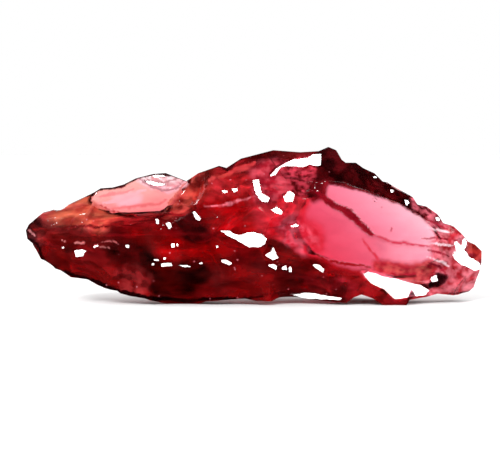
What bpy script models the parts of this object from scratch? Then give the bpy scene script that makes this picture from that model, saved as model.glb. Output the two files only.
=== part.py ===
"""Rough rhodolite garnet: one natural chip, 22 mm long, bounded by curved fracture surfaces.

The chip starts as its own outline, pushed out across its thickness. Every fracture surface then
takes away what lies outside it. A fracture is a piece of a large sphere laid through three points
of the stone, so neighbouring fractures meet in sharp, slightly curved ridges.
Lengths are in millimetres until MM turns them into metres. X runs along the stone, Y away from
the side with the two clear windows, and Z up.
"""

import math

import bmesh
import bpy
from mathutils import Matrix, Vector
from mathutils.bvhtree import BVHTree

MM = 0.001
BLANK_DEPTH = 8.0  # thickness of the uncut blank, more than the finished stone has anywhere
WELD = 0.001  # points of the blank closer than this are one
CELL_PER_ROOT = 0.22  # cell size of a fracture surface over the square root of its radius
WIDEST_SHEET = 0.97  # how far a fracture surface curves on, over its radius, before it runs level
WIDEST_RING = 0.9  # the largest ring through a fracture's three points, over its radius
CHIP_REACH = 1.1  # reach of a chip's cutter over the reach of a chip on a flat face
CHIP_SPAN = (1.0, 0.8, 1.0, 0.9)  # reach of a chip's cutter to each side, over its longest reach
CHIP_ROLL = 37  # how far each chip's cutter is turned from the one before, in degrees
CHIP_LEAN = 35  # how far the side walls of a chip's cutter lean outwards, in degrees
CUT_REACH = 7.0  # how far a large cutter reaches outwards from its fracture surface
CHIP_CUT_REACH = 1.6  # the same for a chip
WIDE = (12.0, 12.0, 12.0, 12.0)  # the span of a fracture that runs right across the stone
CORE = Vector((0.0, 0.0, 2.6))  # a point well inside the stone
GARNET_RED = (0.32, 0.01, 0.03, 1.0)
GARNET_IOR = 1.76
GARNET_ROUGHNESS = 0.05
GARNET_CLEARNESS = 0.6
BASE_CROSS = 5.0  # size of the empty that marks the middle of the base

# The outline seen square on from the window side, clockwise from the left tip.
OUTLINE = [
    (-11.00, 3.45), (-10.85, 3.75), (-9.90, 4.50), (-9.60, 4.50), (-9.20, 4.60), (-8.60, 4.95),
    (-8.10, 5.15), (-7.65, 5.45), (-6.85, 5.50), (-6.30, 5.65), (-5.70, 5.95), (-4.90, 6.15),
    (-4.30, 6.20), (-3.30, 5.80), (-2.70, 6.20), (-1.70, 6.55), (-1.35, 6.45), (-0.65, 6.90),
    (0.90, 7.30), (2.20, 7.20), (3.10, 7.25), (3.55, 7.45), (3.90, 7.30), (4.15, 6.85),
    (4.35, 6.70), (4.85, 6.70), (5.20, 6.45), (5.75, 6.20), (6.15, 5.80), (6.45, 5.75),
    (7.60, 5.05), (7.80, 4.70), (8.25, 4.60), (8.75, 4.25), (9.05, 3.80), (9.55, 3.65),
    (10.05, 3.20), (10.30, 2.90), (10.65, 2.75), (10.95, 2.45), (10.95, 1.90), (10.65, 0.65),
    (10.40, 0.45), (9.80, 0.35), (8.75, 0.45), (8.20, 0.30), (7.35, 0.20), (7.20, 0.00),
    (6.10, 0.00), (5.55, 0.35), (5.05, 0.50), (4.70, 0.35), (4.35, 0.10), (2.65, 0.20),
    (0.05, 0.20), (-0.45, 0.30), (-2.30, 0.15), (-2.70, 0.00), (-4.20, 0.00), (-5.20, 0.30),
    (-6.30, 0.45), (-6.50, 0.65), (-7.30, 0.80), (-7.95, 1.15), (-8.75, 1.25), (-9.30, 1.55),
    (-9.85, 1.70), (-10.25, 2.05), (-10.60, 2.85), (-10.90, 3.05),
]


def new_mesh_object(name, bm, collection):
    mesh = bpy.data.meshes.new(name)
    bm.to_mesh(mesh)
    bm.free()
    obj = bpy.data.objects.new(name, mesh)
    collection.objects.link(obj)
    return obj


def new_collection(name):
    collection = bpy.data.collections.new(name)
    bpy.context.scene.collection.children.link(collection)
    return collection


def outline_blank(name, collection):
    """The outline as a filled flat curve of half BLANK_DEPTH each way, stood upright and made a mesh."""
    curve = bpy.data.curves.new(name, "CURVE")
    curve.dimensions = "2D"
    curve.fill_mode = "BOTH"
    curve.extrude = BLANK_DEPTH / 2 * MM
    spline = curve.splines.new("POLY")
    spline.points.add(len(OUTLINE) - 1)
    for point, (x, z) in zip(spline.points, OUTLINE):
        point.co = (x * MM, z * MM, 0, 1)
    spline.use_cyclic_u = True
    flat = bpy.data.objects.new(name + "_outline", curve)
    collection.objects.link(flat)
    flat.rotation_euler = (math.radians(90), 0, 0)
    bpy.context.view_layer.update()
    evaluated = flat.evaluated_get(bpy.context.evaluated_depsgraph_get())
    bm = bmesh.new()
    bm.from_mesh(bpy.data.meshes.new_from_object(evaluated))
    bmesh.ops.remove_doubles(bm, verts=bm.verts, dist=WELD * MM)
    bmesh.ops.recalc_face_normals(bm, faces=bm.faces)
    blank = new_mesh_object(name, bm, collection)
    blank.matrix_world = flat.matrix_world.copy()
    bpy.data.objects.remove(flat)
    return blank


def evaluated_bmesh(obj):
    bpy.context.view_layer.update()
    bm = bmesh.new()
    bm.from_object(obj, bpy.context.evaluated_depsgraph_get())
    return bm


def facing_axes(out, roll=0):
    """Columns: level, up along the surface and straight out of it, turned by roll degrees about out."""
    level = Vector((0, 0, 1)).cross(out).normalized()
    up = out.cross(level)
    return Matrix((level, up, out)).transposed() @ Matrix.Rotation(math.radians(roll), 3, "Z")


def circle_through(points):
    """The centre and radius of the circle through three points, and its outward normal."""
    a, b, c = (Vector(p) for p in points)
    ab, ac = b - a, c - a
    normal = ab.cross(ac)
    offset = (normal.cross(ab) * ac.length_squared + ac.cross(normal) * ab.length_squared) / (
        2 * normal.length_squared
    )
    out = normal.normalized()
    if out.dot((a + b + c) / 3 - CORE) < 0:
        out = -out
    return a + offset, offset.length, out


def cutter_on_sphere(name, collection, origin, axes, top, bowl, span, lean, reach=CUT_REACH):
    """A closed cutter with a spherical inner face of radius bowl, hollow if positive and domed if
    negative. top is the sphere's deepest point in the axes at origin. span is the reach of the sheet
    from the origin to the left, right, down and up, seen from outside the stone, and lean tips each of
    those four walls outwards, in degrees."""
    left, right, down, up = span
    wide, high = left + right, down + up
    cell = CELL_PER_ROOT * math.sqrt(abs(bowl))
    bm = bmesh.new()
    bmesh.ops.create_grid(
        bm,
        x_segments=max(2, round(wide / cell)),
        y_segments=max(2, round(high / cell)),
        size=0.5,
    )
    radius = abs(bowl)
    for v in bm.verts:
        flat = Vector(((v.co.x + 0.5) * wide - left, (v.co.y + 0.5) * high - down))
        across = min((flat - top.xy).length, WIDEST_SHEET * radius)
        rise = radius - math.sqrt(radius**2 - across**2)
        v.co = (flat.x, flat.y, top.z + math.copysign(rise, bowl))
    pushed = bmesh.ops.extrude_face_region(bm, geom=bm.faces[:])["geom"]
    moved = [v for v in pushed if isinstance(v, bmesh.types.BMVert)]
    out = [reach * math.tan(math.radians(angle)) for angle in lean]
    for v in moved:
        u, w = (v.co.x + left) / wide, (v.co.y + down) / high
        v.co.x += u * out[1] - (1 - u) * out[0]
        v.co.y += w * out[3] - (1 - w) * out[2]
        v.co.z += reach
    bmesh.ops.recalc_face_normals(bm, faces=bm.faces)
    bmesh.ops.scale(bm, vec=(MM, MM, MM), verts=bm.verts)
    cutter = new_mesh_object(name, bm, collection)
    cutter.matrix_world = Matrix.Translation(origin * MM) @ axes.to_4x4()
    cutter.hide_render = True
    cutter.display_type = "WIRE"


def fracture(name, collection, points, bowl, span=WIDE, lean=(0, 0, 0, 0), roll=0):
    """A large scar: a sphere through three points of the stone."""
    centre, ring, out = circle_through(points)
    middle = sum((Vector(p) for p in points), Vector()) / 3
    axes = facing_axes(out, roll)
    sag = abs(bowl) - math.sqrt(bowl**2 - min(ring, WIDEST_RING * abs(bowl)) ** 2)
    top = axes.transposed() @ (centre - middle)
    top.z = -math.copysign(sag, bowl)
    cutter_on_sphere(name, collection, middle, axes, top, bowl, span, lean)


# Points of the stone that fractures share, named by where they are.
TIP_SHELF = (-10.28, -0.50, 3.76)
SHELF_END = (-5.00, -2.50, 4.10)
BROW_LEFT = (-2.61, -2.90, 4.53)
BROW_RIGHT = (0.36, -3.00, 5.00)
RIDGE_TOP = (-0.20, -3.00, 3.80)
RIDGE_FOOT = (4.30, -1.62, 1.94)
BACK_LEFT = (-4.50, 3.30, 2.70)
BACK_RIGHT = (0.50, 3.60, 3.00)

FRONT = {
    "left_shelf": dict(points=(TIP_SHELF, SHELF_END, (-8.12, 0.30, 5.15)), bowl=16),
    "left_flank": dict(points=(TIP_SHELF, SHELF_END, (-6.50, -1.60, 0.63)), bowl=20),
    "belly": dict(points=(SHELF_END, RIDGE_TOP, (-3.57, -1.35, 0.12)), bowl=20),
    "brow": dict(points=(BROW_LEFT, BROW_RIGHT, (0.02, -0.75, 7.07)), bowl=14),
    "temple": dict(points=(BROW_RIGHT, (3.10, -1.70, 5.20), (2.50, -0.50, 7.10)), bowl=12),
    "keel": dict(
        points=(RIDGE_TOP, RIDGE_FOOT, (2.66, -1.10, 0.25)),
        bowl=12,
        span=(9.0, 2.9, 9.0, 9.0),
        lean=(0, 30, 0, 0),
    ),
    "lower_pane": dict(
        points=((2.20, -2.04, 2.60), (8.90, -0.62, 2.40), (4.00, -1.66, 5.00)),
        bowl=60,
        span=(9.0, 9.0, 1.85, 9.0),
        lean=(0, 0, 63, 0),
        roll=-7,
    ),
    "upper_pane": dict(
        points=((3.24, -1.47, 5.15), (6.97, -1.03, 3.20), (6.25, -0.81, 5.25)),
        bowl=60,
        span=(2.8, 9.0, 1.2, 9.0),
        lean=(30, 0, 30, 0),
        roll=-31,
    ),
    "crest": dict(
        points=((4.34, -1.10, 5.97), (8.75, -0.51, 3.86), (6.25, 0.10, 5.80)),
        bowl=25,
        span=(3.1, 8.0, 4.0, 6.0),
        lean=(35, 0, 0, 0),
    ),
    "left_window": dict(
        points=((-7.50, -0.05, 5.20), (-3.90, 0.00, 5.60), (-5.50, -0.12, 4.50)),
        bowl=22,
        span=(2.1, 2.0, 0.65, 3.0),
        lean=(45, 45, 28, 0),
        roll=8,
    ),
    "right_tip": dict(points=((9.30, -0.62, 2.60), (10.85, 0.20, 2.40), (9.80, -0.40, 0.60)), bowl=9),
}
BACK = {
    "back_top": dict(points=(BACK_LEFT, BACK_RIGHT, (0.00, 0.15, 7.20)), bowl=24),
    "back_bottom": dict(points=(BACK_LEFT, BACK_RIGHT, (-2.00, 0.80, 0.00)), bowl=20),
    "back_right": dict(points=((1.50, 3.40, 2.80), (9.00, 1.10, 2.40), (6.50, 1.60, 0.10)), bowl=24),
    "back_pane": dict(
        points=((3.20, 1.00, 5.70), (9.20, 0.60, 3.70), (5.40, 1.25, 2.90)),
        bowl=14,
        span=(3.4, 6.0, 2.6, 5.0),
        lean=(30, 0, 40, 0),
    ),
    "back_flank": dict(points=((-10.40, 0.45, 3.40), BACK_LEFT, (-6.60, 0.60, 5.50)), bowl=20),
    "back_left": dict(points=((-10.50, 0.45, 2.90), BACK_LEFT, (-6.50, 0.60, 0.60)), bowl=20),
    "back_window": dict(
        points=((-7.60, 1.00, 5.10), (-3.90, 1.00, 5.60), (-5.60, 1.00, 4.30)),
        bowl=18,
        span=(3.0, 3.0, 1.6, 3.0),
        lean=(30, 30, 40, 0),
    ),
    "left_sole": dict(points=((-5.20, -1.30, 0.02), (-9.90, -0.60, 1.30), (-7.00, 1.50, 1.40)), bowl=18),
    "arch": dict(
        points=((-2.20, 0.30, 0.18), (4.20, 0.30, 0.16), (1.00, -1.30, 0.20)),
        bowl=12,
        span=(3.6, 3.6, 3.0, 5.0),
    ),
}

# Small scars along the ridges and rims: (x, z), depth, radius, and the way each one faces, as degrees
# towards +X and degrees up.
FRONT_CHIPS = [
    ((-10.20, 3.60), 0.25, 2.0, (-45, 15)),
    ((-9.20, 3.75), 0.22, 3.0, (-20, 25)),
    ((-7.70, 3.85), 0.20, 2.5, (-25, 25)),
    ((-6.10, 3.60), 0.18, 2.5, (-10, 20)),
    ((-4.40, 3.90), 0.22, 3.0, (-15, 20)),
    ((-3.20, 5.10), 0.25, 2.0, (-35, 35)),
    ((-2.70, 4.40), 0.25, 3.0, (5, 20)),
    ((-1.20, 4.70), 0.30, 3.0, (-8, 20)),
    ((0.50, 4.75), 0.35, 2.5, (12, 15)),
    ((-0.30, 3.30), 0.40, 2.5, (5, 20)),
    ((1.40, 2.90), 0.30, 3.0, (20, 2)),
    ((3.10, 2.30), 0.25, 3.0, (5, -8)),
    ((1.10, 6.20), 0.20, 4.0, (5, 40)),
    ((2.30, 6.50), 0.20, 3.0, (-5, 45)),
    ((2.60, 5.20), 0.25, 2.0, (20, 25)),
    ((4.90, 5.65), 0.15, 2.0, (15, 35)),
    ((6.50, 4.95), 0.12, 2.0, (10, 35)),
    ((8.00, 4.15), 0.12, 2.0, (20, 35)),
    ((9.10, 3.10), 0.18, 2.0, (30, 35)),
    ((10.10, 2.50), 0.12, 2.0, (50, 25)),
    ((9.30, 1.80), 0.22, 3.0, (25, 0)),
    ((10.20, 0.90), 0.25, 2.0, (50, -30)),
    ((8.60, 0.75), 0.25, 3.0, (10, -25)),
    ((6.60, 0.50), 0.22, 3.0, (0, -10)),
    ((5.20, 1.10), 0.30, 3.0, (-25, 0)),
    ((2.20, 0.80), 0.30, 3.0, (0, -35)),
    ((-0.60, 0.80), 0.35, 4.0, (-10, -40)),
    ((-3.30, 0.70), 0.25, 4.0, (-5, -45)),
    ((-5.60, 1.00), 0.30, 3.0, (-15, -25)),
    ((-7.60, 1.60), 0.25, 3.0, (-25, -25)),
    ((-9.20, 2.20), 0.22, 2.5, (-35, -20)),
    ((-6.90, 2.60), 0.25, 5.0, (-12, -5)),
    ((-4.00, 2.60), 0.30, 5.0, (-5, 0)),
    ((-2.10, 2.40), 0.25, 5.0, (0, -20)),
    ((-0.70, 1.90), 0.30, 4.0, (10, -15)),
]
BACK_CHIPS = [
    ((-8.80, 3.60), 0.20, 2.5, (-20, 40)),
    ((-7.20, 2.40), 0.25, 3.0, (-25, -25)),
    ((-3.80, 2.40), 0.25, 3.0, (-15, -20)),
    ((-2.20, 5.10), 0.35, 4.0, (5, 45)),
    ((-0.80, 3.50), 0.20, 3.0, (-10, 30)),
    ((1.80, 3.40), 0.25, 3.0, (30, 25)),
    ((1.60, 5.50), 0.35, 4.0, (15, 45)),
    ((-1.80, 0.90), 0.40, 5.0, (0, -50)),
    ((2.60, 1.40), 0.40, 4.0, (15, -30)),
    ((4.60, 2.80), 0.35, 4.0, (15, 15)),
    ((6.80, 2.90), 0.30, 4.0, (5, 15)),
    ((7.80, 0.90), 0.35, 4.0, (5, -30)),
    ((9.60, 2.10), 0.20, 3.0, (25, 5)),
    ((-6.40, 1.40), 0.35, 4.0, (-10, -35)),
    ((-4.80, 0.80), 0.30, 4.0, (-15, -35)),
]


def chips(stone, side, table, collection):
    """Cuts small scars where lines along Y at each (x, z) first meet the stone. side is -1 for the
    window side and 1 for the other."""
    bm = evaluated_bmesh(stone)
    bm.transform(stone.matrix_world)
    tree = BVHTree.FromBMesh(bm)
    bm.free()
    for number, ((x, z), depth, radius, (turn, tilt)) in enumerate(table):
        start = Vector((x, side * BLANK_DEPTH, z)) * MM
        hit = tree.ray_cast(start, Vector((0, -side, 0)))[0] / MM
        turn, tilt = math.radians(turn), math.radians(tilt)
        ahead = math.cos(turn) * math.cos(tilt)
        out = Vector((math.sin(turn) * math.cos(tilt), side * ahead, math.sin(tilt)))
        reach = CHIP_REACH * math.sqrt(2 * radius * depth)
        cutter_on_sphere(
            f"{collection.name}_{side:+d}_{number:02d}",
            collection,
            hit,
            facing_axes(out, roll=CHIP_ROLL * number),
            Vector((0, 0, -depth)),
            radius,
            tuple(share * reach for share in CHIP_SPAN),
            (CHIP_LEAN,) * 4,
            CHIP_CUT_REACH,
        )


def cut_one_by_one(stone, collection):
    for cutter in collection.objects:
        cut = stone.modifiers.new(cutter.name, "BOOLEAN")
        cut.operation = "DIFFERENCE"
        cut.object = cutter


def cut_together(stone, collection):
    cut = stone.modifiers.new(collection.name, "BOOLEAN")
    cut.operation = "DIFFERENCE"
    cut.operand_type = "COLLECTION"
    cut.collection = collection


def garnet_material():
    material = bpy.data.materials.new("garnet")
    material.use_nodes = True
    surface = material.node_tree.nodes["Principled BSDF"]
    surface.inputs["Base Color"].default_value = GARNET_RED
    surface.inputs["Roughness"].default_value = GARNET_ROUGHNESS
    surface.inputs["Metallic"].default_value = 0.0
    surface.inputs["IOR"].default_value = GARNET_IOR
    surface.inputs["Transmission Weight"].default_value = GARNET_CLEARNESS
    return material


def centre_on_origin(stone, others):
    """Hangs everything from an empty, moved so that the middle of the stone's base is the origin."""
    bm = evaluated_bmesh(stone)
    bm.transform(stone.matrix_world)
    xs, ys, zs = ([v.co[axis] for v in bm.verts] for axis in range(3))
    bm.free()
    base = bpy.data.objects.new("garnet_base", None)
    base.empty_display_size = BASE_CROSS * MM
    stone.users_collection[0].objects.link(base)
    for obj in [stone, *others]:
        obj.parent = base
    base.location = (-(min(xs) + max(xs)) / 2, -(min(ys) + max(ys)) / 2, -min(zs))


def main():
    for obj in list(bpy.data.objects):
        bpy.data.objects.remove(obj)
    part = new_collection("garnet_part")
    fractures = new_collection("fractures")
    chipped = new_collection("chips")
    stone = outline_blank("garnet", part)
    stone.data.materials.append(garnet_material())
    for name, shape in {**FRONT, **BACK}.items():
        fracture(name, fractures, **shape)
    cut_one_by_one(stone, fractures)
    chips(stone, -1, FRONT_CHIPS, chipped)
    chips(stone, 1, BACK_CHIPS, chipped)
    cut_together(stone, chipped)
    centre_on_origin(stone, [*fractures.objects, *chipped.objects])


main()
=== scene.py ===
import math

import bmesh
import bpy
import numpy as np
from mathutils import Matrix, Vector


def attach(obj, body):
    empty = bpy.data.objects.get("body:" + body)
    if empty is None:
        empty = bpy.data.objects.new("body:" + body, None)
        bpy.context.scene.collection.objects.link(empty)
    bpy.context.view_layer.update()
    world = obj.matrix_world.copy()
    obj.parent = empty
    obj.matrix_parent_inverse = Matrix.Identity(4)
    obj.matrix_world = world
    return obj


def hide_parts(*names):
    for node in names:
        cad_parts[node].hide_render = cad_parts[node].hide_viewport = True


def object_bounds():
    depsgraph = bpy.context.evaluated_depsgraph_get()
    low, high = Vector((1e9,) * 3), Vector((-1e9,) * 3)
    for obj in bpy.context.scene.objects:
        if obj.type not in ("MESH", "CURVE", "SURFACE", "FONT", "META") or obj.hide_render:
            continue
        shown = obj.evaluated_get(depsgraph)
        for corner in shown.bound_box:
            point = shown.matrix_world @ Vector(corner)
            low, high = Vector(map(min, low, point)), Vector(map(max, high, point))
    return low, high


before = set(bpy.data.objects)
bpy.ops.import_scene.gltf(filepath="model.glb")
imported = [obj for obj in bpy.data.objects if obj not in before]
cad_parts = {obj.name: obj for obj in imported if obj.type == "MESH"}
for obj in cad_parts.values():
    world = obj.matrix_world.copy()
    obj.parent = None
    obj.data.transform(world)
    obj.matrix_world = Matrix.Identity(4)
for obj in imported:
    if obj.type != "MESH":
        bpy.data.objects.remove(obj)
CAD_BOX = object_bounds()

# The looks of a rough rhodolite garnet. The CAD solid is cut into a fine surface, which is levelled
# where it is a clear pane and broken flat where it glints. Each point of it gets a tint and a
# clearness from the regions and strokes below, and one see-through material reads the two.
# Lengths are in millimetres until MM turns them into metres, and angles are in degrees.
MM = 0.001

# The view of the photograph.
AIM = (-0.191, -0.5, 3.211)  # the point that the camera looks at
CAMERA_AWAY = 66.7  # from AIM
CAMERA_UP = math.radians(4)
LENS = 100  # on Blender's own 36 mm sensor

# The lights, each by its azimuth and elevation round LIT, a point inside the stone.
LIT = (0, 0, 3.0)
KEY = (-36, 36)
KEY_AWAY = 300.0
KEY_SIZE, KEY_POWER = 80.0, 0.6  # power is in watts
FILL = (40, 35)
FILL_AWAY = 300.0
FILL_SIZE, FILL_POWER = 50.0, 0.15

# How the CAD solid is made into the fine surface.
WELD = 0.002  # points closer than this become one
SLIVER = 0.004  # faces thinner than this are taken out
LONGEST_EDGE = 0.11475  # of the fine surface
SPLIT_ROUNDS = 8  # at most, to bring every edge under LONGEST_EDGE
RIDGE_ANGLE = 11.0  # two faces that meet at more than this make a ridge
BORDER_ROUNDS = 2  # of extra splitting along the borders of the glints
BORDER_EDGE = 0.03  # an edge this short isn't split there

# The clear panes, which the regions of these names outline, on the front and on the back.
PANES = ("right_window", "left_window")
PANE_FACING = 0.1  # how far a point has to face its side to be in a pane
PANE_CORE = 0.15  # how far inside its outline a pane's plane is measured
PANE_MARGIN = 0.1  # how far past its outline a pane is still half level
PANE_BORDER = 0.6  # how wide the change from a level pane to the skin round it is
PANE_WAVE, PANE_WAVE_SIZE = 0.03, 1.6  # height and length of the waves that are left

# The glints, small flat breaks that send the key light to the front.
RELIEF = 0.15  # the most that a glint is sunk or raised to flatten it
GLINT_WOBBLE, GLINT_WOBBLE_SIZE = 0.05, 0.5  # how rough the outline of a glint is
FACING = 0.02  # how far a point has to face the front to be in a glint
FEWEST_POINTS = 3  # in a glint
GLARE = 14.0  # kept between the rest of the skin and a mirror of the key light
SHELF_TURN = 1.2  # how far the shelf under the left window turns to the front, to mirror less of it
SHELF_BORDER = 0.3  # how wide the change to it is

# The paint.
WANDER, WANDER_SIZE = 0.13, 0.8  # how far the borders of regions and lines stray, and over what length
FRAY, FRAY_SIZE = 0.03, 0.22  # the same again, finer. Lines break up over FRAY_SIZE too
CONTRAST = 1.4  # of the mottling
CLEAR_ENOUGH = 0.9  # a region at least this clear counts as clear
OVERLAP = 0.1  # how much further clearness reaches than colour, or colour than clouding
GRAIN, GRAIN_SIZE = 0.6, 0.45  # how strong and how large the grain of the cloudy stone is
HAIRS, HAIR_SIZE, HAIR_WIDTH = 0.5, 0.8, 0.07  # the same of its fine hairs, and how wide they are
HAIR_PATCHES = 1.5  # the size of the patches that have hairs
CLEARING = (0.7, 0.25)  # both fade from this clearness on, over this much more
RIM_SHADE_TINT, RIM_SHADE_STRENGTH = (44, 3, 5), 0.8  # of the painted shade: a dark line where the stone turns away
RIM_SHADE_EDGE = 0.3  # how far outside the region "middle" the painted rim shade has its full strength
BACK_TINT, BACK_GRAIN = (255, 240, 242), 0.2
# From which Y of the normal, and over how much more of it, the painted rim shade, the plain tint of
# the back and its clearness come in. Near the edge of the stone clearness comes in EDGE_EARLY sooner.
RIM_SHADE_TURN, BACK_TURN, CLEAR_TURN, EDGE_EARLY = (-0.42, 0.25), (0.02, 0.2), (0, 0.25), 0.3

# The material. Scales are in cells of noise to the metre. A span of four numbers carries a value
# between the first two to one between the last two.
GARNET_IOR = 1.76
THROUGH, ABSORPTION = (0.93, 0.0, 0.22, 1), 700  # the colour that gets through, and the density
CLOUDY = (0.4, 0.8, 1.0, 0.0)  # clearness to how much the streaks and the painted sparkle show
STREAKS, STREAK_STRETCH, STREAK_SHADE = 2600, (0.35, 1, 1), (0.32, 0.68, 0.62, 1.35)
# Painted sparkle: pink specks that stand in for glints of tiny facets, where the stone is cloudy.
SPARKLES, SPARKLE_COLOUR = 2100, (0.7, 0.2, 0.25, 1)
SPARKLE_CORE, SPARKLE_PLACES = (0.06, 0.12, 0.6, 0.0), (0.5, 0.56, 0.0, 1.0)
SMEARS, SMEAR_ROUGHNESS = 900, (0.42, 0.7, 0.07, 0.17)
RIPPLES, RIPPLE_HEIGHT = 5200, 0.03
RIPPLE_STRENGTH = (0.3, 1.0, 0.1, 0.02)  # by clearness: cloudy places are hackly

# The room and the floor.
FRONT_TO_BACK = (-0.55, 0.25, 0.3, 1.5)  # a span from where a ray points along Y to brightness
LEVEL_TO_OVERHEAD = (0.3, 0.95, 1.0, 0.45)  # the same along Z, which multiplies it
ROOM_LIGHT = 1.1  # how bright the room is to the floor
FLOOR_HALF, FLOOR_GAP = 600.0, 0.01  # half its side, and how far it is below the stone
BOUNCES = 24  # of a ray of light, enough to cross the stone

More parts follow.
